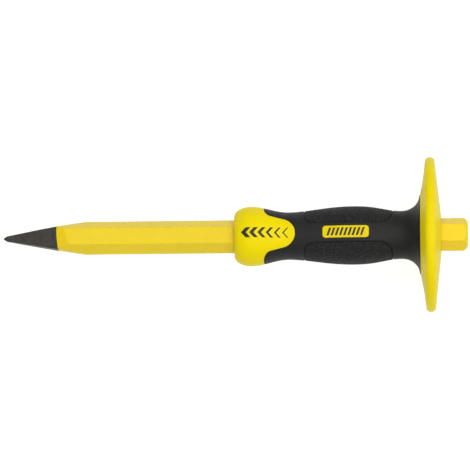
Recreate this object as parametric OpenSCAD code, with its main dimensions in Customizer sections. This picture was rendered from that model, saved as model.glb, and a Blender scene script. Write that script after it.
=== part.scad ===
// Cold chisel with a four-sided point, a soft two-colour grip and a round hand guard.
//
// The tool lies along X. The origin is the centre of the striking face, +X leaves
// that face, the point is at the -X end, and the front badge faces +Z.
// Millimetres and degrees.

/* [Bar] */
// Length from the tip to the striking face
overall_length = 300; // [290:1:330]
// Width across the flats of the hexagonal bar, paint included
across_flats = 18.7; // [18:0.1:19.1]
// Width of the chamfer round the striking face
head_chamfer = 2.7; // [1:0.1:4]

/* [Point] */
// Half angle between the front and back faces of the point
front_taper = 11.2; // [10:0.1:12]
// Half angle between the upper and lower faces of the point
side_taper = 10.1; // [9:0.1:12]
// Turn of the forged point against the flats of the bar
point_twist = 3.3; // [-8:0.1:8]
// Distance from the tip at which the chamfers on the point's corners start
corner_start = 22; // [18:0.5:30]
// Half angle between opposite corner chamfers
corner_taper = 9.6; // [8:0.1:10]
// Length of the steeper ground bevel at the tip
bevel_length = 2.2; // [2:0.1:6]
// Half angle of the ground bevel
bevel_taper = 33; // [20:1:35]

/* [Guard] */
// Diameter of the round hand guard
guard_diameter = 100; // [94:0.2:110]
// Thickness of the guard at its rim
rim_thickness = 6.4; // [5.8:0.1:8]
// Radius on both edges of the rim
rim_round = 2.8; // [1:0.1:2.8]
// Slope of the guard's front face at the rim
front_slope = 5.5; // [5:0.1:8]
// Radius of the slight hollow of the guard's front face
front_hollow = 180; // [150:1:300]
// Slope of the guard's back face
back_slope = 6.1; // [3:0.1:8]
// Length of bar left proud behind the guard
head_stub = 17.1; // [14:0.1:25]

/* [Grip] */
// Length of the grip, from the front of the bulb to the guard end of the flare
grip_length = 119.5; // [117:0.1:123]
// Radius of the front face of the bulb
nose_radius = 12.9; // [11.8:0.1:13.5]
// Largest radius of the bulb
bulb_radius = 19.2; // [18.4:0.05:20]
// Distance from the grip's front to the bulb's largest radius
bulb_at = 10.85; // [10:0.05:14]
// Radius of the slim waist behind the bulb
waist_radius = 15.3; // [14.6:0.1:15.6]
// Distance from the grip's front to the front waist
waist_at = 35.1; // [33:0.1:38]
// Largest radius of the swelling in the middle of the grip
belly_radius = 18.9; // [17.5:0.05:19.5]
// Distance from the grip's front to the largest radius of the swelling
belly_at = 76.7; // [74:0.1:80]
// Radius of the slim waist in front of the flare
rear_waist_radius = 15.5; // [14.8:0.1:16]
// Length of the quarter ellipse that sweeps the grip out to the flare
flare_length = 11.6; // [10.8:0.1:12]
// Radius of the flare's edge, where it laps onto the guard
flare_radius = 25.4; // [24.5:0.1:25.5]
// Radius of the hard inner tube under the soft grip
tube_radius = 12.3; // [12:0.1:12.6]

/* [Tongues] */
// Distance from the grip's front to the line where yellow gives way to black
bulb_line_at = 19.15; // [17:0.05:21]
// Length of the tongues past that line
tongue_length = 20.2; // [17:0.1:21]
// Radius of the tongues' round ends
tongue_round = 9.5; // [8:0.1:10]
// Slope of the tongues' sides, which close towards their round ends
tongue_taper = 14.6; // [5:0.1:18]
// Radius of the fillets at the roots of the tongues
tongue_fillet = 4.5; // [3:0.1:6]

/* [Pads] */
// Distance from the grip's front to the front edge of the textured pads
pad_at = 45.6; // [44:0.1:47]
// Length of the textured pads
pad_length = 56.5; // [50:0.5:58]
// Half width of the smooth band between the two pads
band_half_width = 6.9; // [6:0.1:7.5]
// Corner radius at the front end of the pads
pad_front_round = 4.7; // [3:0.1:7]
// Corner radius at the rear end of the pads
pad_rear_round = 7.8; // [6:0.1:9]
// Thickness of the pads
pad_thickness = 1.6; // [1:0.1:2]
// Width of the groove round each pad
groove_width = 0.6; // [0.5:0.1:1.2]

/* [Badges] */
// Length of the badges
badge_length = 29.8; // [26:0.2:32]
// Width of the badges
badge_width = 7.8; // [7:0.1:9]
// Corner radius of the badges
badge_round = 2; // [1:0.1:3]
// Distance from the grip's front to the middle of the badges
badge_at = 72; // [68:0.1:74]
// Height of the badges above the grip
badge_proud = 0.25; // [0.1:0.05:0.4]
// Depth of the pockets that hold the badges
badge_pocket = 0.8; // [0.5:0.1:1.2]

/* [Hidden] */

TURN_FACETS = 96;          // facets of round shapes on screen
BLEND_STEPS = 10;          // steps along each swell of the grip
ARC_STEPS = 8;             // steps along each small arc of a profile
FACE_STEPS = 6;            // steps across the guard's hollow front face
REACH = 60;                // half size of cutting blocks, past every surface of the tool
TIP_HALF_WIDTH = 0.25;     // the ground tip ends in a small flat
LIP_THICKNESS = 0.45;      // the soft grip at the edge of its flare
PAINT_THICKNESS = 0.1;     // the bar has no paint inside the grip
PAINT_GAP = 0.2;           // bare strip between the guard and the paint on the stub
EARLY_SWELL = 0.87;        // the grip swells quickly out of the front waist
LATE_SWELL = 1.3;          // and falls away slowly behind the belly

bar_corner_radius = across_flats / (2 * cos(30));
bare_flats = across_flats - 2 * PAINT_THICKNESS;
bevel_half_width = TIP_HALF_WIDTH + bevel_length * tan(bevel_taper);

tip_x = -overall_length;
guard_radius = guard_diameter / 2;
rim_back_x = -head_stub - (guard_radius - rim_round - bar_corner_radius) * tan(back_slope);
rim_front_x = rim_back_x - rim_thickness;
flare_x = guard_front_x(flare_radius) - LIP_THICKNESS;
grip_x = flare_x - grip_length;
bulb_x = grip_x + bulb_at;
waist_x = grip_x + waist_at;
belly_x = grip_x + belly_at;
rear_waist_x = flare_x - flare_length;
bulb_line_x = grip_x + bulb_line_at;
tongue_end_x = bulb_line_x + tongue_length;
pad_x = grip_x + pad_at;
badge_x = grip_x + badge_at;

// Where the guard's hollow front face is, at a given radius
function guard_front_x(radius) =
    let (inwards = guard_radius - rim_round - radius)
        rim_front_x - inwards * tan(front_slope) - pow(inwards, 2) / (2 * front_hollow);

// Where the guard's conical back face is, at a given radius
function guard_back_x(radius) =
    rim_back_x + (guard_radius - rim_round - radius) * tan(back_slope);

// Smooth step from 0 to 1. A skew under 1 makes it rise early, over 1 late.
function smooth_step(t, skew) = (1 - cos(180 * pow(t, skew))) / 2;

// Profile points [radius, x] along one smooth swell, without its last point
function swell(x0, r0, x1, r1, skew = 1) = [
    for (i = [0 : BLEND_STEPS - 1])
        let (t = i / BLEND_STEPS)
            [r0 + (r1 - r0) * smooth_step(t, skew), x0 + (x1 - x0) * t]
];

// Profile points on an arc about [r, x], from one angle to another. 0 points away
// from the tool's axis and 90 points towards +X.
function arc(r, x, radius, from, to) = [
    for (i = [0 : ARC_STEPS])
        let (angle = from + (to - from) * i / ARC_STEPS)
            [r + radius * cos(angle), x + radius * sin(angle)]
];

// The grip's outer profile, from its front face to the edge of the flare
function grip_curve() = concat(
    [
        for (i = [0 : ARC_STEPS - 1])
            let (angle = 90 * i / ARC_STEPS)
                [nose_radius + (bulb_radius - nose_radius) * sin(angle),
                 bulb_x - bulb_at * cos(angle)]
    ],
    swell(bulb_x, bulb_radius, waist_x, waist_radius),
    swell(waist_x, waist_radius, belly_x, belly_radius, EARLY_SWELL),
    swell(belly_x, belly_radius, rear_waist_x, rear_waist_radius, LATE_SWELL),
    [
        for (i = [0 : ARC_STEPS])
            let (angle = 90 * i / ARC_STEPS)
                [flare_radius - (flare_radius - rear_waist_radius) * cos(angle),
                 rear_waist_x + flare_length * sin(angle)]
    ]
);

// Turns a profile drawn as [radius, x] about the tool's axis
module turned(profile) {
    rotate([0, 90, 0])
        rotate_extrude($fn = TURN_FACETS)
            polygon(profile);
}

// The whole outside of the grip as one solid, sunk below the surface by a depth
module grip_form(depth = 0) {
    turned(concat(
        [[0, grip_x]],
        [for (p = grip_curve()) [p[0] - depth, p[1]]],
        [[flare_radius - depth, guard_front_x(flare_radius)], [0, guard_front_x(flare_radius)]]
    ));
}

// The round guard without its hole
module guard_disc() {
    crown = guard_radius - rim_round;
    turned(concat(
        [
            for (i = [0 : FACE_STEPS - 1])
                let (radius = crown * i / FACE_STEPS)
                    [radius, guard_front_x(radius)]
        ],
        arc(crown, rim_front_x + rim_round, rim_round, front_slope - 90, 0),
        arc(crown, rim_back_x - rim_round, rim_round, 0, 90 - back_slope),
        [[0, guard_back_x(0)]]
    ));
}

// Extrudes an outline drawn from the front right through the tool
module through_tool() {
    translate([0, 0, -REACH])
        linear_extrude(2 * REACH)
            children();
}

// Hexagonal prism along X, with flats facing up and down
module hex_prism(from, to, flats) {
    translate([from, 0, 0])
        rotate([0, 90, 0])
            rotate([0, 0, 30])
                cylinder(h = to - from, r = flats / (2 * cos(30)), $fn = 6);
}

// Takes away what lies above a plane that has a height over the axis at a station and
// rises towards the head, on the side of the tool that the turn gives
module cut_above(station, height, rise, turn) {
    rotate([turn, 0, 0])
        translate([station, -REACH, height])
            rotate([0, -rise, 0])
                translate([-REACH, 0, 0])
                    cube([3 * REACH, 2 * REACH, REACH]);
}

// Steel bar with its forged point and chamfered head
module chisel_bar() {
    front_height = bevel_half_width - bevel_length * tan(front_taper);
    side_height = bevel_half_width - bevel_length * tan(side_taper);
    corner_height = (front_height + side_height
        + corner_start * (tan(front_taper) + tan(side_taper) - sqrt(2) * tan(corner_taper)))
        / sqrt(2);
    color("gold")
        difference() {
            union() {
                hex_prism(tip_x, grip_x, across_flats);
                hex_prism(grip_x - 1, 1 - head_stub, bare_flats);
                hex_prism(PAINT_GAP - head_stub, 0, across_flats);
            }
            for (turn = [0, 180]) {
                cut_above(tip_x, front_height, front_taper, turn + point_twist);
                cut_above(tip_x, side_height, side_taper, turn + 90 + point_twist);
            }
            for (turn = [0 : 90 : 270]) {
                cut_above(tip_x, corner_height, corner_taper, turn + 45 + point_twist);
                cut_above(tip_x, TIP_HALF_WIDTH, bevel_taper, turn + point_twist);
            }
            for (turn = [0 : 30 : 330])
                cut_above(0, bar_corner_radius - head_chamfer, -45, turn);
        }
}

// Outline of everything yellow at the front of the grip: the bulb and its tongue
module front_outline() {
    round_x = tongue_end_x - tongue_round;
    fillet_x = bulb_line_x + tongue_fillet;
    fillet_y = (tongue_round + tongue_fillet + (round_x - fillet_x) * sin(tongue_taper))
        / cos(tongue_taper);
    side_start = [fillet_x, fillet_y] - tongue_fillet * [sin(tongue_taper), cos(tongue_taper)];
    side_end = [round_x, 0] + tongue_round * [sin(tongue_taper), cos(tongue_taper)];
    translate([grip_x - 1, -REACH])
        square([bulb_line_x - grip_x + 1, 2 * REACH]);
    translate([round_x, 0])
        circle(r = tongue_round, $fn = TURN_FACETS);
    for (side = [0, 1])
        mirror([0, side])
            difference() {
                polygon([
                    [bulb_line_x - 1, 0],
                    [bulb_line_x - 1, fillet_y],
                    [fillet_x, fillet_y],
                    side_start,
                    side_end,
                    [side_end[0], 0]
                ]);
                translate([fillet_x, fillet_y])
                    circle(r = tongue_fillet, $fn = TURN_FACETS);
            }
}

// Yellow moulding: bulb, tongues, tube along the bar and round hand guard
module guard_core() {
    color("gold")
        difference() {
            union() {
                intersection() {
                    grip_form();
                    through_tool()
                        front_outline();
                }
                turned([
                    [0, grip_x + 1],
                    [tube_radius, grip_x + 1],
                    [tube_radius, guard_front_x(tube_radius) + 1],
                    [0, guard_front_x(tube_radius) + 1]
                ]);
                guard_disc();
            }
            hex_prism(grip_x - 1, 1, bare_flats);
        }
}

// Outline of one textured pad, seen from the front, larger all round by a margin
module pad_outline(margin = 0) {
    front_round = pad_front_round + margin;
    rear_round = pad_rear_round + margin;
    front_x = pad_x - margin;
    rear_x = pad_x + pad_length + margin;
    near_y = band_half_width - margin;
    translate([front_x + front_round, near_y])
        square([rear_x - rear_round - front_x - front_round, REACH]);
    translate([front_x, near_y + front_round])
        square([front_round, REACH - front_round]);
    translate([rear_x - rear_round, near_y + rear_round])
        square([rear_round, REACH - rear_round]);
    translate([front_x + front_round, near_y + front_round])
        circle(r = front_round, $fn = TURN_FACETS);
    translate([rear_x - rear_round, near_y + rear_round])
        circle(r = rear_round, $fn = TURN_FACETS);
}

// Outline of a badge: a plain rounded plate
module badge_outline() {
    corner_x = badge_length / 2 - badge_round;
    corner_y = badge_width / 2 - badge_round;
    translate([badge_x, 0]) {
        square([2 * corner_x, badge_width], center = true);
        square([badge_length, 2 * corner_y], center = true);
        for (end = [-1, 1], side = [-1, 1])
            translate([end * corner_x, side * corner_y])
                circle(r = badge_round, $fn = TURN_FACETS / 2);
    }
}

// Soft black grip moulded over the core, with pockets for the pads and badges
module grip_sleeve() {
    color("dimgray")
        difference() {
            grip_form();
            through_tool()
                front_outline();
            turned([
                [0, grip_x - 1],
                [tube_radius, grip_x - 1],
                [tube_radius, 1],
                [0, 1]
            ]);
            guard_disc();
            difference() {
                through_tool() {
                    pad_outline(groove_width);
                    mirror([0, 1])
                        pad_outline(groove_width);
                }
                grip_form(pad_thickness);
            }
            difference() {
                through_tool()
                    badge_outline();
                grip_form(badge_pocket);
            }
        }
}

// Textured pad that wraps one side of the grip
module pad() {
    color("gray")
        difference() {
            intersection() {
                grip_form();
                through_tool()
                    pad_outline();
            }
            grip_form(pad_thickness);
        }
}

// Small plate let into the smooth band between the pads
module badge() {
    color("khaki")
        intersection() {
            difference() {
                grip_form(-badge_proud);
                grip_form(badge_pocket);
            }
            linear_extrude(REACH)
                badge_outline();
        }
}

module upper_pad() {
    pad();
}

module lower_pad() {
    mirror([0, 1, 0])
        pad();
}

module front_badge() {
    badge();
}

module back_badge() {
    rotate([180, 0, 0])
        badge();
}

chisel_bar();
guard_core();
grip_sleeve();
upper_pad();
lower_pad();
front_badge();
back_badge();
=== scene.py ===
import math

import bpy
import numpy as np
from mathutils import Matrix, Vector


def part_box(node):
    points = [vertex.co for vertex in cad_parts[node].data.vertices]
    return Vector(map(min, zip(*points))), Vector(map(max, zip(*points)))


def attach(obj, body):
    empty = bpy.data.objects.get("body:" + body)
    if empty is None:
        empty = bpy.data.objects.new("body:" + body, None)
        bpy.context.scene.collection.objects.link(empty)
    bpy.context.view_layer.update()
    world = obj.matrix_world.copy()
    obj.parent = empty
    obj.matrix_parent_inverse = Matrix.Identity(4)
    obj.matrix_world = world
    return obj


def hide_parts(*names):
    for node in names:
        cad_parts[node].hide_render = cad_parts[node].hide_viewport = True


# The looks of a guarded cold chisel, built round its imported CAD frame.
#
# Shapes are worked out in millimetres and made in metres. A place on the tool is given
# by its station x along the axis and its angle round the axis: 0 at the front (+Z), and
# a quarter turn at the top (+Y). Most pieces are skins: a radius for each station and
# angle, sunk where a signed distance says that an edge, a groove or a pocket runs.

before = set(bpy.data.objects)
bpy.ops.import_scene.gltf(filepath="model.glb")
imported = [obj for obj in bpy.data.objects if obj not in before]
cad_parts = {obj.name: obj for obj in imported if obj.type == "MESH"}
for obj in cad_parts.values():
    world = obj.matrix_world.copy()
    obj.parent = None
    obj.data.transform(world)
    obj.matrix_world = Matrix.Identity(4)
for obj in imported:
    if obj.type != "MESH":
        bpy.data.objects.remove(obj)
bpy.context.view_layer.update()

MM = 0.001


def box_mm(node):
    """The lowest and highest corner of a CAD node, in millimetres."""
    low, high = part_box(node)
    return np.array(low) / MM, np.array(high) / MM


# ---------------------------------------------------------------- sizes from the frame

BAR_LOW, BAR_HIGH = box_mm("chisel_bar")
CORE_LOW, CORE_HIGH = box_mm("guard_core")
SLEEVE_LOW, SLEEVE_HIGH = box_mm("grip_sleeve")
PAD_LOW, PAD_HIGH = box_mm("upper_pad")
BADGE_LOW, BADGE_HIGH = box_mm("front_badge")

TIP_X = BAR_LOW[0]
HEX_FLAT = BAR_HIGH[2]
HEX_CORNER = HEX_FLAT / math.cos(math.radians(30))
GRIP_X = CORE_LOW[0]
GUARD_RADIUS = CORE_HIGH[1]
LIP_X = SLEEVE_HIGH[0]
FLARE_RADIUS = SLEEVE_HIGH[1]
BULB_LINE_X = SLEEVE_LOW[0]
PAD_FRONT_X, PAD_REAR_X = PAD_LOW[0], PAD_HIGH[0]
BAND_HALF_WIDTH = PAD_LOW[1]
BADGE_X = (BADGE_LOW[0] + BADGE_HIGH[0]) / 2
BADGE_HALF = (BADGE_HIGH[:2] - BADGE_LOW[:2]) / 2

# ------------------------------------------------------- sizes that the CAD part states

HEAD_CHAMFER = 2.7
CHAMFER_PLANES = 12
FRONT_TAPER = math.radians(11.2)
SIDE_TAPER = math.radians(10.1)
CORNER_TAPER = math.radians(9.6)
BEVEL_TAPER = math.radians(33)
BEVEL_LENGTH = 2.2
TIP_HALF_WIDTH = 0.25
CORNER_START = 22.0
POINT_TURN = math.radians(-3.3)

NOSE_RADIUS = 12.9
BULB_RADIUS = 19.2
WAIST_RADIUS = 15.3
BELLY_RADIUS = 18.9
REAR_WAIST_RADIUS = 15.5
TUBE_RADIUS = 12.3
FLARE_LENGTH = 11.6
LIP_THICKNESS = 0.45
BULB_X = GRIP_X + 10.85
WAIST_X = GRIP_X + 35.1
BELLY_X = GRIP_X + 76.7
EARLY_SWELL = 0.87
LATE_SWELL = 1.3

TONGUE_LENGTH = 20.2
TONGUE_ROUND = 9.5
TONGUE_TAPER = math.radians(14.6)
TONGUE_FILLET = 4.5
TONGUE_END_X = BULB_LINE_X + TONGUE_LENGTH

PAD_FRONT_ROUND = 4.7
PAD_REAR_ROUND = 7.8
PAD_THICKNESS = 1.6
GROOVE_WIDTH = 0.6

BADGE_ROUND = 2.0
BADGE_PROUD = 0.25
BADGE_POCKET = 0.8
BADGE_GAP = 0.15

RIM_THICKNESS = 6.4
RIM_ROUND = 2.8
FRONT_SLOPE = math.radians(5.5)
FRONT_HOLLOW = 180.0
BACK_SLOPE = math.radians(6.1)
HEAD_STUB = 17.1
RIM_BACK_X = -HEAD_STUB - (GUARD_RADIUS - RIM_ROUND - HEX_CORNER) * math.tan(BACK_SLOPE)
RIM_FRONT_X = RIM_BACK_X - RIM_THICKNESS
FLARE_X = LIP_X - LIP_THICKNESS
REAR_WAIST_X = FLARE_X - FLARE_LENGTH

# ------------------------------------------------------------- sizes of the looks alone

PAINT_LINE_X = TIP_X + 34.5       # paint starts here at the front, and the point is bare
PAINT_THICKNESS = 0.04
PAINT_EDGE = 0.2                  # the step up to the paint takes this much length
PAINT_UNEVENNESS = 0.01
STEEL_UNEVENNESS = 0.03
STEEL_SINK_LENGTH = 6.0           # from the tip to where bare steel lies fully under the paint
EDGE_STATIONS = (50, 65, 150)     # from the tip: forging leaves the shank's edges rounder
EDGE_SHARPNESS = (300, 70, 140)   # near the point than at the head
SEAM_ROUND = 0.35                 # rounding on both sides of a seam or a groove
SEAM_DEPTH = 1.6                  # the soft grip's edge goes this deep beside the yellow
SEAM_LAP = 0.45                   # and runs on this far past the seam
WALL_RUN = 0.3                    # walls lean, and reach their full depth over this width
THINNEST_RUBBER = 0.4             # at least this much stays over the tube
PAD_WALL_START = 0.09             # the groove drops into the pocket this far outside a pad
PAINT_LINE_BOW = 0.9              # the paint line lies this much further back at the sides
PAINT_LINE_SKEW = 0.5             # and this much further back at the lower side
PAINT_LINE_BLEND = 6.0            # the grid bends back to plain rings this far from it
PEBBLE_PITCH = 1.0                # raised pebbles on the pads
PEBBLE_SIZE = 0.72                # radius of a pebble, in pitches
PEBBLE_SHIFT = 0.38               # how far a pebble is off its place, in pitches
PEBBLE_FIELD = (97, 89)           # the seeded places repeat after so many pebbles
PEBBLE_HEIGHT = 0.25
PEBBLE_MARGIN = 0.5               # plain border of a pad, and the width of the fade past it
PAD_REACH = math.radians(76)      # half of what a pad wraps round the side of the grip
GROOVE_DEPTH = 0.4                # of the groove round each pad, before the pad's own wall
MARK_LIFT = 0.05                  # thickness of the printed marks
CHEVRONS = 6                      # on each tongue, thinner one after another
CHEVRONS_AT = 4.6
CHEVRON_PITCH = 5.3
CHEVRON_WIDTH = 3.2
CHEVRON_THINNING = 0.7            # the share of that width which the last one has lost
CHEVRON_BEND = 3.0
CHEVRON_HALF_HEIGHT = 3.3
BARS = 9                          # on each badge
BAR_PITCH = 2.7
BAR_WIDTH = 1.4
BAR_SLANT = 0.9
BAR_HALF_HEIGHT = 2.5


# ---------------------------------------------------------------------- shape formulas

def swell(x, x0, r0, x1, r1, skew=1.0):
    """The grip's radius along one smooth swell from (x0, r0) to (x1, r1)."""
    t = np.clip((x - x0) / (x1 - x0), 0, 1)
    return r0 + (r1 - r0) * (1 - np.cos(np.pi * t ** skew)) / 2


def grip_radius(x):
    """The grip's outer radius at a station."""
    to_bulb = np.clip((BULB_X - x) / (BULB_X - GRIP_X), 0, 1)
    nose = NOSE_RADIUS + (BULB_RADIUS - NOSE_RADIUS) * np.sqrt(1 - to_bulb ** 2)
    into_flare = np.clip((x - REAR_WAIST_X) / FLARE_LENGTH, 0, 1)
    flare = FLARE_RADIUS - (FLARE_RADIUS - REAR_WAIST_RADIUS) * np.sqrt(1 - into_flare ** 2)
    return np.select(
        [x < BULB_X, x < WAIST_X, x < BELLY_X, x < REAR_WAIST_X],
        [
            nose,
            swell(x, BULB_X, BULB_RADIUS, WAIST_X, WAIST_RADIUS),
            swell(x, WAIST_X, WAIST_RADIUS, BELLY_X, BELLY_RADIUS, EARLY_SWELL),
            swell(x, BELLY_X, BELLY_RADIUS, REAR_WAIST_X, REAR_WAIST_RADIUS, LATE_SWELL),
        ],
        flare,
    )


def guard_front_x(radius):
    """The station of the guard's slightly hollow front face at a radius."""
    inwards = GUARD_RADIUS - RIM_ROUND - radius
    return RIM_FRONT_X - inwards * math.tan(FRONT_SLOPE) - inwards ** 2 / (2 * FRONT_HOLLOW)


def guard_back_x(radius):
    """The station of the guard's conical back face at a radius."""
    return RIM_BACK_X + (GUARD_RADIUS - RIM_ROUND - radius) * math.tan(BACK_SLOPE)


def hex_radius(angle):
    """The radius of the hexagonal bar, whose first flat faces the front."""
    sixth = math.radians(60)
    off_flat = (angle + sixth / 2) % sixth - sixth / 2
    return HEX_FLAT / np.cos(off_flat)


def either(a, b, fillet):
    """Signed distance of two shapes joined, with a fillet in the corner between them."""
    reach = np.hypot(np.maximum(fillet - a, 0), np.maximum(fillet - b, 0))
    return np.maximum(fillet, np.minimum(a, b)) - reach


def both(a, b, rounding):
    """Signed distance of what two shapes share, with the corner between them rounded."""
    reach = np.hypot(np.maximum(rounding + a, 0), np.maximum(rounding + b, 0))
    return np.minimum(-rounding, np.maximum(a, b)) + reach


def from_yellow(x, y):
    """Signed distance to the yellow bulb and its tongues, negative inside them."""
    along = x - (TONGUE_END_X - TONGUE_ROUND)
    out = np.abs(y)
    rise, run = math.sin(TONGUE_TAPER), math.cos(TONGUE_TAPER)
    on_round_end = along * run > out * rise
    reach = np.where(on_round_end, np.hypot(along, out), along * rise + out * run)
    return either(x - BULB_LINE_X, reach - TONGUE_ROUND, TONGUE_FILLET)


def from_pad(x, y):
    """Signed distance to the nearer textured pad, negative inside it."""
    inner = BAND_HALF_WIDTH - np.abs(y)
    front = both(PAD_FRONT_X - x, inner, PAD_FRONT_ROUND)
    rear = both(x - PAD_REAR_X, inner, PAD_REAR_ROUND)
    return np.maximum(front, rear)


def from_badge(x, y):
    """Signed distance to the badges, negative inside them."""
    over_x = np.abs(x - BADGE_X) - (BADGE_HALF[0] - BADGE_ROUND)
    over_y = np.abs(y) - (BADGE_HALF[1] - BADGE_ROUND)
    outside = np.hypot(np.maximum(over_x, 0), np.maximum(over_y, 0))
    return outside + np.minimum(np.maximum(over_x, over_y), 0) - BADGE_ROUND


def edge_drop(distance, rounding, depth):
    """How far a surface sinks at its edge: a rounded shoulder inside the edge, then a wall."""
    near = np.clip((distance + rounding) / rounding, 0, 1)
    shoulder = rounding * (1 - np.sqrt(1 - near ** 2))
    wall = (depth - rounding) * np.clip(distance / WALL_RUN, 0, 1)
    return shoulder + wall


def ripple(x, angle, seed, count=8, longest=40.0, shortest=6.0):
    """A gentle seeded unevenness between about -1 and 1, seamless round the tool."""
    random = np.random.default_rng(seed)
    total = np.zeros(np.broadcast(x, angle).shape)
    for wavelength in np.geomspace(longest, shortest, count):
        turns = random.integers(0, 5)
        total = total + np.sin(2 * np.pi * x / wavelength + turns * angle + random.uniform(0, 7))
    return total / math.sqrt(count)


# ------------------------------------------------------------------------ mesh builders

def spans(*stops):
    """Stations through (place, step) stops: each stretch is cut into steps of about its size."""
    parts = []
    for (start, step), (end, _) in zip(stops, stops[1:]):
        count = max(1, round(abs(end - start) / step))
        parts.append(np.linspace(start, end, count, endpoint=False))
    return np.concatenate([*parts, [stops[-1][0]]])


def ring_angles(count):
    """Evenly spaced angles once round the tool."""
    return np.arange(count) * 2 * math.pi / count


def polar(x, radius, angle):
    """Points at a station, a radius and an angle, in millimetres."""
    x, radius, angle = np.broadcast_arrays(x, radius, angle)
    return np.stack([x, radius * np.sin(angle), radius * np.cos(angle)], axis=-1)


def make_object(name, points, faces):
    """A mesh object from points in millimetres."""
    mesh = bpy.data.meshes.new(name)
    mesh.from_pydata((points.reshape(-1, 3) * MM).tolist(), [], faces)
    mesh.validate()
    mesh.update()
    mesh.shade_smooth()
    piece = bpy.data.objects.new(name, mesh)
    bpy.context.scene.collection.objects.link(piece)
    return piece


def loft(name, rings, hollow=False):
    """A closed skin through rings of points. A hollow one joins its last ring to its first,
    and any other has both ends closed by fans."""
    rows, columns = rings.shape[:2]
    index = np.arange(rows * columns).reshape(rows, columns)
    nxt = np.roll(index, -1, axis=1)
    low, high = (index, np.roll(index, -1, axis=0)) if hollow else (index[:-1], index[1:])
    low_next, high_next = (nxt, np.roll(nxt, -1, axis=0)) if hollow else (nxt[:-1], nxt[1:])
    faces = np.stack([low, high, high_next, low_next], axis=-1).reshape(-1, 4).tolist()
    points = rings.reshape(-1, 3)
    if not hollow:
        first, last = len(points), len(points) + 1
        points = np.vstack([points, rings[0].mean(axis=0), rings[-1].mean(axis=0)])
        faces += [[first, a, b] for a, b in zip(index[0], nxt[0])]
        faces += [[last, b, a] for a, b in zip(index[-1], nxt[-1])]
    return make_object(name, points, faces)


def shell(name, outer, inner, keep=None, wraps=False):
    """A closed skin between two grids of points. Only the kept cells are made, with walls
    where they end; a grid that wraps joins its last column to its first."""
    if wraps:
        outer = np.concatenate([outer, outer[:, :1]], axis=1)
        inner = np.concatenate([inner, inner[:, :1]], axis=1)
    rows, columns = outer.shape[:2]
    if keep is None:
        keep = np.ones((rows - 1, columns - 1), bool)
    index = np.arange(rows * columns).reshape(rows, columns)
    if wraps:
        index[:, -1] = index[:, 0]
    under = index + rows * columns
    corners = [(slice(0, -1), slice(0, -1)), (slice(1, None), slice(0, -1)),
               (slice(1, None), slice(1, None)), (slice(0, -1), slice(1, None))]
    top = np.stack([index[c] for c in corners], axis=-1)
    bottom = np.stack([under[c] for c in reversed(corners)], axis=-1)
    faces = top[keep].tolist() + bottom[keep].tolist()
    padded = np.pad(keep, 1)
    if wraps:
        padded[:, 0], padded[:, -1] = padded[:, -2], padded[:, 1]
    # one wall along each side of a kept cell whose neighbour isn't kept
    sides = [((-1, 0), 3, 0), ((0, -1), 0, 1), ((1, 0), 1, 2), ((0, 1), 2, 3)]
    for (down, right), start, end in sides:
        beyond = padded[1 + down:rows + down, 1 + right:columns + right]
        edge = keep & ~beyond
        a, b = top[..., start][edge], top[..., end][edge]
        offset = rows * columns
        faces += np.stack([b, a, a + offset, b + offset], axis=-1).tolist()
    piece = make_object(name, np.stack([outer, inner]), faces)
    drop_loose_points(piece)
    return piece


def drop_loose_points(piece):
    """Removes points that no face uses."""
    mesh = piece.data
    used = np.zeros(len(mesh.vertices), bool)
    corner_points = np.empty(len(mesh.loops), np.int32)
    mesh.loops.foreach_get("vertex_index", corner_points)
    used[corner_points] = True
    places = np.empty(len(mesh.vertices) * 3, np.float32)
    mesh.vertices.foreach_get("co", places)
    renumbered = np.cumsum(used) - 1
    faces = [[int(renumbered[v]) for v in face.vertices] for face in mesh.polygons]
    kept = places.reshape(-1, 3)[used]
    mesh.clear_geometry()
    mesh.from_pydata(kept.tolist(), [], faces)
    mesh.update()
    mesh.shade_smooth()


def cells_where(inside):
    """The grid cells that have at least one corner inside."""
    return inside[:-1, :-1] | inside[1:, :-1] | inside[1:, 1:] | inside[:-1, 1:]


def add_piece(piece, slot, *nodes, material=None):
    """Gives a piece its material and hangs it on the frame. The slot is not used."""
    if material is not None:
        piece.data.materials.append(material)
    if nodes:
        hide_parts(*nodes)
    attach(piece, "root")
    return piece


# ---------------------------------------------------------------------- node materials

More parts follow.
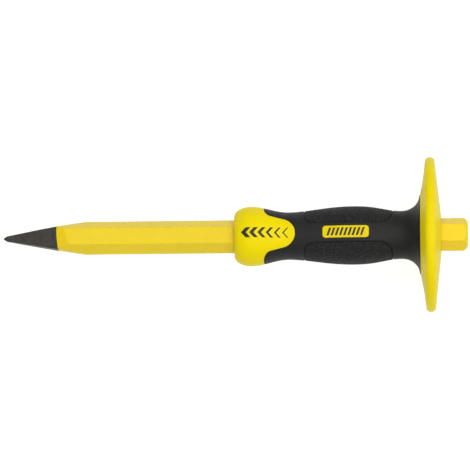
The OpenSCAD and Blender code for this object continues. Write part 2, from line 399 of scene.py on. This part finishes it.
class NodeMaterial:
    """A material with a Principled shader, and short ways to add nodes to it."""

    def __init__(self, name, **settings):
        self.material = bpy.data.materials.new(name)
        self.material.use_nodes = True
        self.nodes = self.material.node_tree.nodes
        self.links = self.material.node_tree.links
        self.shader = self.nodes["Principled BSDF"]
        for socket, value in settings.items():
            self.shader.inputs[socket.replace("_", " ")].default_value = value
        self.place = self.nodes.new("ShaderNodeTexCoord").outputs["Object"]

    def stretched(self, x, y, z):
        """Object coordinates, stretched along each axis."""
        mapping = self.nodes.new("ShaderNodeMapping")
        mapping.inputs["Scale"].default_value = (x, y, z)
        self.links.new(self.place, mapping.inputs["Vector"])
        return mapping.outputs["Vector"]

    def noise(self, size_mm, detail=3.0, vector=None, roughness=0.55):
        """Noise whose lumps are about the given size."""
        noise = self.nodes.new("ShaderNodeTexNoise")
        noise.inputs["Scale"].default_value = 1 / (size_mm * MM)
        noise.inputs["Detail"].default_value = detail
        noise.inputs["Roughness"].default_value = roughness
        self.links.new(vector or self.place, noise.inputs["Vector"])
        return noise.outputs["Fac"]

    def remap(self, value, low, high, to_low=0.0, to_high=1.0):
        """A value in one range carried over to another."""
        node = self.nodes.new("ShaderNodeMapRange")
        for socket, number in zip(node.inputs[1:5], (low, high, to_low, to_high)):
            socket.default_value = number
        self.links.new(value, node.inputs["Value"])
        return node.outputs["Result"]

    def attribute(self, name):
        """A number that the mesh holds for each point."""
        node = self.nodes.new("ShaderNodeAttribute")
        node.attribute_name = name
        return node.outputs["Fac"]

    def multiply(self, a, b):
        """The product of two node outputs."""
        node = self.nodes.new("ShaderNodeMath")
        node.operation = "MULTIPLY"
        self.links.new(a, node.inputs[0])
        self.links.new(b, node.inputs[1])
        return node.outputs["Value"]

    def mix(self, amount, first, second):
        """A colour between two, each a colour or another node's output."""
        node = self.nodes.new("ShaderNodeMix")
        node.data_type = "RGBA"
        self.links.new(amount, node.inputs["Factor"])
        for socket, colour in ((node.inputs[6], first), (node.inputs[7], second)):
            if isinstance(colour, tuple):
                socket.default_value = (*colour, 1)
            else:
                self.links.new(colour, socket)
        return node.outputs[2]

    def colour(self, output):
        """Sets the surface's colour."""
        self.links.new(output, self.shader.inputs["Base Color"])

    def rough(self, output):
        """Sets the surface's roughness."""
        self.links.new(output, self.shader.inputs["Roughness"])

    def bump(self, *layers):
        """Bump from (height, strength, depth in millimetres) layers."""
        normal = None
        for height, strength, depth in layers:
            node = self.nodes.new("ShaderNodeBump")
            node.inputs["Strength"].default_value = strength
            node.inputs["Distance"].default_value = depth * MM
            self.links.new(height, node.inputs["Height"])
            if normal is not None:
                self.links.new(normal, node.inputs["Normal"])
            normal = node.outputs["Normal"]
        self.links.new(normal, self.shader.inputs["Normal"])


def yellow_paint():
    """Gloss paint on rolled steel: slightly uneven, thinner along the edges, and with painted shade
    on the forged faces of the point, which are given a darker, deeper yellow."""
    m = NodeMaterial("yellow_paint", IOR=1.45, Specular_IOR_Level=0.25)
    patches = m.remap(m.noise(14, 2), 0.35, 0.65)
    shank = m.mix(patches, (0.88, 0.655, 0.003), (0.86, 0.635, 0.002))
    # painted shade: the forged faces of the point take a darker, deeper yellow that stands in for the
    # shade their tilt gives them
    base = m.mix(m.attribute("forged"), shank, (0.85, 0.61, 0.0))
    worn = m.remap(m.multiply(m.attribute("edge"), m.noise(1.3, 4)), 0.25, 0.6, 0.0, 0.4)
    m.colour(m.mix(worn, base, (0.74, 0.50, 0.02)))
    m.rough(m.remap(m.noise(5, 4), 0.3, 0.7, 0.22, 0.32))
    m.bump((m.noise(1.6, 2), 0.35, 0.05), (m.noise(0.25, 2), 0.2, 0.01))
    return m.material


def bare_steel():
    """Dark forged steel: oxide in patches, fine grinding lines, paler worn edges."""
    m = NodeMaterial("bare_steel", Metallic=0.75, IOR=1.6)
    oxide = m.remap(m.noise(4.5, 5, roughness=0.65), 0.35, 0.68)
    base = m.mix(oxide, (0.044, 0.042, 0.036), (0.068, 0.065, 0.056))
    lines = m.remap(m.noise(0.22, 3, vector=m.stretched(0.08, 1, 1)), 0.42, 0.72, 0.0, 0.35)
    lined = m.mix(lines, base, (0.09, 0.087, 0.078))
    worn = m.remap(m.multiply(m.attribute("edge"), m.noise(0.9, 4)), 0.22, 0.55, 0.0, 0.75)
    m.colour(m.mix(worn, lined, (0.20, 0.19, 0.17)))
    m.rough(m.remap(m.noise(2.2, 5), 0.3, 0.7, 0.42, 0.62))
    m.bump((m.noise(3.0, 4), 0.5, 0.10), (m.noise(0.35, 4), 0.5, 0.03))
    return m.material


def yellow_plastic():
    """Glossy moulded plastic with a faint orange-peel skin and slight colour drift."""
    m = NodeMaterial("yellow_plastic", IOR=1.46, Specular_IOR_Level=0.1)
    drift = m.remap(m.noise(22, 2), 0.35, 0.65)
    m.colour(m.mix(drift, (0.92, 0.74, 0.001), (0.90, 0.715, 0.001)))
    m.rough(m.remap(m.noise(7, 4), 0.3, 0.7, 0.42, 0.52))
    m.bump((m.noise(0.9, 2), 0.25, 0.03), (m.noise(0.2, 2), 0.15, 0.01))
    return m.material


def soft_rubber():
    """Satin black thermoplastic rubber with a fine moulded grain and a dusty drift in tone."""
    m = NodeMaterial("soft_rubber", IOR=1.48, Specular_IOR_Level=0.15)
    dust = m.remap(m.noise(9, 4), 0.35, 0.7)
    m.colour(m.mix(dust, (0.0205, 0.0205, 0.0210), (0.0245, 0.0245, 0.0250)))
    m.rough(m.remap(m.noise(4, 5), 0.3, 0.7, 0.45, 0.58))
    m.bump((m.noise(0.28, 3), 0.35, 0.03), (m.noise(2.5, 2), 0.2, 0.04))
    return m.material


def pad_rubber():
    """Matt black rubber, speckled paler and darker in random lumps about a pebble wide: partly wear on
    the pebbles, partly painted shade between them, though not placed on them.
    """
    m = NodeMaterial("pad_rubber", IOR=1.48, Specular_IOR_Level=0.3)
    # painted shade mixed with wear: the darker side of this random speckle stands in for shade between
    # the pebbles
    wear_and_pebble_shade = m.remap(m.noise(PEBBLE_PITCH, 1), 0.42, 0.62)
    m.colour(m.mix(wear_and_pebble_shade, (0.0055, 0.0055, 0.0057), (0.0215, 0.0215, 0.0220)))
    m.rough(m.remap(m.noise(3, 4), 0.3, 0.7, 0.55, 0.72))
    m.bump((m.noise(0.3, 3), 0.6, 0.04), (m.noise(1.1, 2), 0.4, 0.06))
    return m.material


def badge_plastic():
    """Satin yellow plastic of the badges."""
    m = NodeMaterial("badge_plastic", IOR=1.46, Specular_IOR_Level=0.1)
    drift = m.remap(m.noise(6, 3), 0.35, 0.65)
    m.colour(m.mix(drift, (0.86, 0.68, 0.004), (0.82, 0.64, 0.004)))
    m.rough(m.remap(m.noise(2, 3), 0.3, 0.7, 0.35, 0.48))
    m.bump((m.noise(0.3, 3), 0.3, 0.02))
    return m.material


def black_print():
    """Matt black ink with slightly broken coverage."""
    m = NodeMaterial("black_print", IOR=1.4)
    cover = m.remap(m.noise(0.5, 3), 0.3, 0.75)
    m.colour(m.mix(cover, (0.016, 0.015, 0.012), (0.040, 0.034, 0.018)))
    m.rough(m.remap(m.noise(1, 3), 0.3, 0.7, 0.45, 0.6))
    m.bump((m.noise(0.2, 2), 0.2, 0.01))
    return m.material


def floor_card():
    """Plain white card under the tool."""
    m = NodeMaterial("floor_card", Roughness=0.9, IOR=1.3, Emission_Strength=0.9)
    m.shader.inputs["Emission Color"].default_value = (1, 1, 1, 1)
    m.colour(m.mix(m.remap(m.noise(60, 2), 0.3, 0.7), (0.22, 0.22, 0.22), (0.24, 0.24, 0.24)))
    return m.material


# ------------------------------------------------------------------------------ the bar

def plane_terms(x, angle):
    """For each flat, face and chamfer of the bar, how far out it is: (distance, facing)."""
    from_tip = x - TIP_X
    front_height = TIP_HALF_WIDTH + BEVEL_LENGTH * (math.tan(BEVEL_TAPER) - math.tan(FRONT_TAPER))
    side_height = TIP_HALF_WIDTH + BEVEL_LENGTH * (math.tan(BEVEL_TAPER) - math.tan(SIDE_TAPER))
    faces_rise = math.tan(FRONT_TAPER) + math.tan(SIDE_TAPER)
    corner_height = (front_height + side_height + CORNER_START * faces_rise) / math.sqrt(2)
    corner_height -= CORNER_START * math.tan(CORNER_TAPER)
    for k in range(CHAMFER_PLANES):
        yield HEX_CORNER - HEAD_CHAMFER - x, angle - math.radians(360 / CHAMFER_PLANES * k)
    for k in range(6):
        yield HEX_FLAT, angle - math.radians(60 * k)
    for k in range(4):
        turned = angle - POINT_TURN - math.radians(90 * k)
        height, taper = ((front_height, FRONT_TAPER), (side_height, SIDE_TAPER))[k % 2]
        yield height + from_tip * math.tan(taper), turned
        yield corner_height + from_tip * math.tan(CORNER_TAPER), turned - math.radians(45)
        yield TIP_HALF_WIDTH + from_tip * math.tan(BEVEL_TAPER), turned


def bar_radius(x, angle):
    """The bar's radius with its edges rounded, how close each place is to an edge, from 0 on
    a face to 1 on an edge, and whether it lies on the forged point, from 0 to 1."""
    reaches = [distance / np.maximum(np.cos(facing), 0.01)
               for distance, facing in plane_terms(x, angle)]
    sharp = np.min(reaches, axis=0)
    sharpness = np.interp(x - TIP_X, EDGE_STATIONS, EDGE_SHARPNESS)
    shares = [(sharp / reach) ** sharpness for reach in reaches]
    crowd = sum(shares)
    rounded = sharp * crowd ** (-1 / sharpness)
    forged = sum(shares[CHAMFER_PLANES + 6:]) / crowd
    return rounded, np.clip(np.log2(crowd), 0, 1), forged


def build_bar():
    """The forged bar, with bare steel up to the paint line and paint behind it."""
    stations = spans((TIP_X, 0.2), (TIP_X + 5, 0.45), (PAINT_LINE_X - 0.3, 0.1),
                     (PAINT_LINE_X + 0.3, 0.45), (TIP_X + 56, 1.5), (GRIP_X + 2, 12),
                     (-HEAD_STUB - 2, 0.8), (-4, 0.2), (0, 0.2))
    station, angle = np.meshgrid(stations, ring_angles(360), indexing="ij")
    # the dipped paint's edge wanders, and the grid follows it
    side = np.sin(angle)
    near_line = np.exp(-((station - PAINT_LINE_X) / PAINT_LINE_BLEND) ** 2)
    x = station + (PAINT_LINE_BOW * side ** 2 - PAINT_LINE_SKEW * side) * near_line
    radius, edge, forged = bar_radius(x, angle)
    bare = 1 - np.clip((station - PAINT_LINE_X + PAINT_EDGE / 2) / PAINT_EDGE, 0, 1)
    sunk = bare * np.clip((x - TIP_X) / STEEL_SINK_LENGTH, 0, 1)
    steel_dips = STEEL_UNEVENNESS * (1 + ripple(x, angle, seed=4, longest=30, shortest=4))
    paint_dips = PAINT_UNEVENNESS * (1 + ripple(x, angle, seed=9, longest=50, shortest=9))
    radius = radius - sunk * (PAINT_THICKNESS + steel_dips)
    radius = radius - (1 - bare) * paint_dips
    bar = loft("forged_bar", polar(x, radius, angle))
    for name, values, at_ends in (("edge", edge, (1, 0)), ("forged", forged, (1, 0))):
        attribute = bar.data.attributes.new(name, "FLOAT", "POINT")
        attribute.data.foreach_set("value", np.append(values, at_ends).astype(np.float32))
    bar.data.materials.append(yellow_paint())
    bar.data.materials.append(bare_steel())
    rows_of_steel = int(np.searchsorted(stations, PAINT_LINE_X - 0.05))
    for face in bar.data.polygons:
        face.material_index = int(min(face.vertices) < rows_of_steel * angle.shape[1])
    return add_piece(bar, "painted_steel", "chisel_bar")


# -------------------------------------------------------------------- the yellow moulding

def arc_points(x, radius, size, start, end, count):
    """(station, radius) pairs on an arc. 0 degrees points away from the axis, 90 along +X."""
    turn = np.radians(np.linspace(start, end, count))
    return x + size * np.sin(turn), radius + size * np.cos(turn)


def build_moulding(material):
    """Bulb, tongues, hidden tube and hand guard: one skin with the bar's hexagonal hole."""
    angle = ring_angles(360)
    rings = []

    def add(x, radius):
        """Adds one ring of the skin."""
        rings.append(polar(x, radius, angle))

    inner = hex_radius(angle)
    for share in (0, 0.5, 0.9):
        add(GRIP_X, inner + (NOSE_RADIUS - inner) * share)
    for turn in np.radians(np.linspace(0, 90, 26)):
        x = BULB_X - (BULB_X - GRIP_X) * math.cos(turn)
        add(x, grip_radius(np.array(x)))
    for x in spans((BULB_X + 0.5, 0.5), (BULB_LINE_X - 1, 0.33), (TONGUE_END_X + 0.7, 0.33)):
        surface = grip_radius(np.array(x))
        distance = from_yellow(x, surface * np.sin(angle))
        add(x, surface - edge_drop(distance, SEAM_ROUND, surface - TUBE_RADIUS))
    tube_end_x = guard_front_x(TUBE_RADIUS)
    for x in spans((TONGUE_END_X + 1.5, 6), (tube_end_x, 6)):
        add(x, TUBE_RADIUS)
    for radius in spans((TUBE_RADIUS + 0.5, 1.5), (GUARD_RADIUS - RIM_ROUND - 0.5, 1.5)):
        add(guard_front_x(radius), radius)
    crown = GUARD_RADIUS - RIM_ROUND
    slopes = math.degrees(FRONT_SLOPE), math.degrees(BACK_SLOPE)
    for x, radius in zip(*arc_points(RIM_FRONT_X + RIM_ROUND, crown, RIM_ROUND, slopes[0] - 90, 0, 9)):
        add(x, radius)
    for x, radius in zip(*arc_points(RIM_BACK_X - RIM_ROUND, crown, RIM_ROUND, 0, 90 - slopes[1], 9)):
        add(x, radius)
    for radius in spans((crown - 0.5, 1.5), (HEX_CORNER + 1, 1.5)):
        add(guard_back_x(radius), radius)
    add(guard_back_x(HEX_CORNER), inner)
    for x in spans((-HEAD_STUB - 1, 12), (GRIP_X + 1, 12)):
        add(x, inner)
    piece = loft("yellow_moulding", np.stack(rings), hollow=True)
    return add_piece(piece, "yellow_moulding", "guard_core", material=material)


# ------------------------------------------------------------------- the soft black parts

def build_sleeve(material):
    """The soft grip: open round the tongues, with pockets for the pads and the badges."""
    flare_stations = REAR_WAIST_X + FLARE_LENGTH * np.sin(np.linspace(0, math.pi / 2, 30))
    stations = np.append(spans((BULB_LINE_X - 0.8, 0.35), (REAR_WAIST_X - 0.35, 0.35)),
                         flare_stations)
    x, angle = np.meshgrid(stations, ring_angles(360), indexing="ij")
    surface = grip_radius(x)
    y = surface * np.sin(angle)
    yellow = from_yellow(x, y)
    pad = from_pad(x, y)
    badge = from_badge(x, y) - BADGE_GAP
    radius = surface - edge_drop(-yellow, SEAM_ROUND, SEAM_DEPTH)
    radius = radius - edge_drop(GROOVE_WIDTH - pad, SEAM_ROUND, GROOVE_DEPTH)
    radius = radius - (PAD_THICKNESS - GROOVE_DEPTH) * np.clip((PAD_WALL_START - pad) / WALL_RUN, 0, 1)
    radius = radius - edge_drop(-badge, 0.15, BADGE_POCKET)
    outer = polar(x, np.maximum(radius, TUBE_RADIUS + THINNEST_RUBBER), angle)
    # under the flare the inside leaves the tube and climbs the guard's front face
    climb = np.linspace(TUBE_RADIUS, FLARE_RADIUS, 8)
    path_x = np.append(stations[0], guard_front_x(climb))
    path_r = np.append(TUBE_RADIUS, climb)
    path = np.append(0, np.cumsum(np.hypot(np.diff(path_x), np.diff(path_r))))
    along = np.interp(np.arange(len(stations)),
                      [0, len(stations) - len(flare_stations), len(stations) - 1],
                      [0, REAR_WAIST_X - stations[0], path[-1]])
    inner = polar(np.interp(along, path, path_x)[:, None], np.interp(along, path, path_r)[:, None],
                  angle)
    keep = cells_where(np.pad(yellow > -SEAM_LAP, ((0, 0), (0, 1)), "wrap"))
    piece = shell("soft_grip", outer, inner, keep, wraps=True)
    return add_piece(piece, "black_soft_grip", "grip_sleeve", material=material)


def pebbles(x, across, seed):
    """Heights from 0 to 1 of a field of rounded pebbles, set at random about a square grid."""
    shifts = np.random.default_rng(seed).uniform(-PEBBLE_SHIFT, PEBBLE_SHIFT, (*PEBBLE_FIELD, 2))
    u, v = x / PEBBLE_PITCH, across / PEBBLE_PITCH
    nearest = np.full(x.shape, np.inf)
    for step_u in (-1, 0, 1):
        for step_v in (-1, 0, 1):
            cell_u = np.floor(u).astype(int) + step_u
            cell_v = np.floor(v).astype(int) + step_v
            shift = shifts[cell_u % PEBBLE_FIELD[0], cell_v % PEBBLE_FIELD[1]]
            away = np.hypot(u - cell_u - 0.5 - shift[..., 0], v - cell_v - 0.5 - shift[..., 1])
            nearest = np.minimum(nearest, away)
    return np.clip(1 - (nearest / PEBBLE_SIZE) ** 2, 0, 1)


def build_pad(name, node, side, material):
    """A textured pad: small raised pebbles that fade out at its rounded border."""
    stations = spans((PAD_FRONT_X - 0.25, 0.25), (PAD_REAR_X + 0.25, 0.25))
    x, angle = np.meshgrid(stations, np.linspace(-PAD_REACH, PAD_REACH, 200), indexing="ij")
    surface = grip_radius(x)
    from_middle = math.pi / 2 - np.abs(angle)
    distance = from_pad(x, surface * np.sin(from_middle))
    fade = np.clip((-distance - PEBBLE_MARGIN) / PEBBLE_MARGIN, 0, 1)
    hollow = (1 - pebbles(x, BELLY_RADIUS * angle, seed=21 + side)) * fade
    radius = surface - edge_drop(distance, SEAM_ROUND, PAD_THICKNESS) - PEBBLE_HEIGHT * hollow
    turned = side * math.pi / 2 + angle
    keep = cells_where(distance < 0.1)
    piece = shell(name, polar(x, radius, turned), polar(x, surface - PAD_THICKNESS, turned), keep)
    return add_piece(piece, "textured_pad", node, material=material)


# ------------------------------------------------------------------ badges and their marks

def on_grip(x, y, face, lift):
    """Points over the grip's front (face 0) or back (face 1), seen square on at (x, y)."""
    surface = grip_radius(x)
    angle = np.arcsin(y / surface)
    return polar(x, surface + lift, angle + face * math.pi)


def build_badge(name, node, face, material):
    """A plain rounded plate let into the smooth band."""
    half = BADGE_HALF + 0.2
    x, y = np.meshgrid(np.linspace(-half[0], half[0], 150) + BADGE_X,
                       np.linspace(-half[1], half[1], 42), indexing="ij")
    distance = from_badge(x, y)
    lift = BADGE_PROUD - edge_drop(distance, 0.25, BADGE_PROUD + BADGE_POCKET)
    keep = cells_where(distance < 0.05)
    piece = shell(name, on_grip(x, y, face, lift), on_grip(x, y, face, -BADGE_POCKET), keep)
    return add_piece(piece, "badge_plastic", node, material=material)


def build_mark(name, x, y, face, base, material):
    """A printed mark: a thin patch over a grid of places seen square on."""
    piece = shell(name, on_grip(x, y, face, base + MARK_LIFT), on_grip(x, y, face, base - MARK_LIFT))
    return add_piece(piece, "black_soft_grip", material=material)


def build_marks(face, material):
    """Plain printed marks: chevrons towards the point on the tongue, and a row of slanted
    bars on the badge."""
    side = ("front", "back")[face]
    across, along = np.meshgrid(np.linspace(-1, 1, 41), np.linspace(0, 1, 9), indexing="ij")
    for k in range(CHEVRONS):
        tip_x = GRIP_X + CHEVRONS_AT + CHEVRON_PITCH * k
        bend = CHEVRON_BEND * np.abs(across)
        thickness = CHEVRON_WIDTH * (1 - CHEVRON_THINNING * k / (CHEVRONS - 1))
        build_mark(f"{side}_chevron_{k + 1}", tip_x + bend + thickness * along,
                   CHEVRON_HALF_HEIGHT * across, face, 0.0, material)
    for k in range(BARS):
        middle_x = BADGE_X + BAR_PITCH * (k - (BARS - 1) / 2)
        build_mark(f"{side}_bar_{k + 1}", middle_x + BAR_WIDTH * (along - 0.5) + BAR_SLANT * across,
                   BAR_HALF_HEIGHT * across, face, BADGE_PROUD, material)


# ------------------------------------------------------------------------ stage and camera

def leaning(tilt, lean):
    """The direction that is straight up when the tool's head is raised by a tilt, and the
    tool is turned by a lean about its own axis."""
    return Vector((math.sin(tilt), -math.cos(tilt) * math.sin(lean), math.cos(tilt) * math.cos(lean)))


def turned_to(direction, right):
    """A rotation whose Z is the direction, and whose X is as near to right as it can be."""
    z = direction.normalized()
    x = (right - z * right.dot(z)).normalized()
    return Matrix((x, z.cross(x), z)).transposed().to_4x4()


def lowest_along(direction):
    """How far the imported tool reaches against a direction."""
    return min(direction.dot(v.co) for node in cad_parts.values() for v in node.data.vertices)


AXIS = Vector((1, 0, 0))
REST_TILT = math.atan(GUARD_RADIUS / ((RIM_FRONT_X + RIM_BACK_X) / 2 - TIP_X))
FLOOR_UP = leaning(REST_TILT, math.radians(4))
TO_CAMERA = leaning(math.radians(1.5), math.radians(8.6))
TO_LIGHT = leaning(math.radians(17), math.radians(3))


def build_floor():
    """A wide, brightly lit white table that the tip and the guard's rim touch."""
    steps = np.linspace(-15000, 15000, 31)
    across, along = np.meshgrid(steps, steps, indexing="ij")
    flat = np.stack([along, across, np.zeros_like(along)], axis=-1)
    index = np.arange(across.size).reshape(across.shape)
    faces = np.stack([index[:-1, :-1], index[:-1, 1:], index[1:, 1:], index[1:, :-1]], axis=-1)
    floor = make_object("floor", flat, faces.reshape(-1, 4).tolist())
    floor.matrix_world = Matrix.Translation(FLOOR_UP * lowest_along(FLOOR_UP)) @ turned_to(FLOOR_UP, AXIS)
    floor.data.materials.append(floor_card())


def build_world():
    """Studio surroundings: dim walls, and one broad soft light overhead."""
    walls, ceiling, narrowness = 0.08, 3.1, 4.5
    world = bpy.data.worlds.new("studio")
    world.use_nodes = True
    bpy.context.scene.world = world
    nodes, links = world.node_tree.nodes, world.node_tree.links
    value = nodes.new("ShaderNodeTexCoord").outputs["Generated"]
    overhead = nodes.new("ShaderNodeVectorMath")
    overhead.operation = "DOT_PRODUCT"
    overhead.inputs[1].default_value = TO_LIGHT
    links.new(value, overhead.inputs[0])
    value = overhead.outputs["Value"]
    for operation, *numbers in (("MAXIMUM", 0), ("POWER", narrowness),
                                ("MULTIPLY_ADD", ceiling, walls)):
        step = nodes.new("ShaderNodeMath")
        step.operation = operation
        for socket, number in zip(step.inputs[1:], numbers):
            socket.default_value = number
        links.new(value, step.inputs[0])
        value = step.outputs["Value"]
    nodes["Background"].inputs["Color"].default_value = (1, 1, 1, 1)
    links.new(value, nodes["Background"].inputs["Strength"])


def build_camera():
    """Looks square on at the tool from far off, with a long lens."""
    lens_mm, sensor_mm = 600, 36
    distance, from_tip, offset = 5.0647, 0.14949, 0.00273
    roll = math.radians(0.618)
    along = (AXIS - TO_CAMERA * TO_CAMERA.x).normalized()
    across = TO_CAMERA.cross(along)
    right = along * math.cos(roll) - across * math.sin(roll)
    upward = TO_CAMERA.cross(right)
    place = AXIS * TIP_X * MM + right * from_tip + upward * offset + TO_CAMERA * distance
    data = bpy.data.cameras.new("camera")
    data.lens = lens_mm
    data.sensor_width = sensor_mm
    data.clip_start, data.clip_end = 0.01, 20
    camera = bpy.data.objects.new("camera", data)
    bpy.context.scene.collection.objects.link(camera)
    camera.matrix_world = Matrix.Translation(place) @ turned_to(TO_CAMERA, right)
    bpy.context.scene.camera = camera


# ------------------------------------------------------------------------------- assembly

bpy.context.scene.view_settings.view_transform = "Standard"
build_camera()
build_world()
build_floor()

build_bar()
build_moulding(yellow_plastic())
build_sleeve(soft_rubber())
matt_rubber = pad_rubber()
build_pad("upper_grip_pad", "upper_pad", 1, matt_rubber)
build_pad("lower_grip_pad", "lower_pad", -1, matt_rubber)
plate = badge_plastic()
ink = black_print()
build_badge("front_plate", "front_badge", 0, plate)
build_badge("back_plate", "back_badge", 1, plate)
build_marks(0, ink)
build_marks(1, ink)
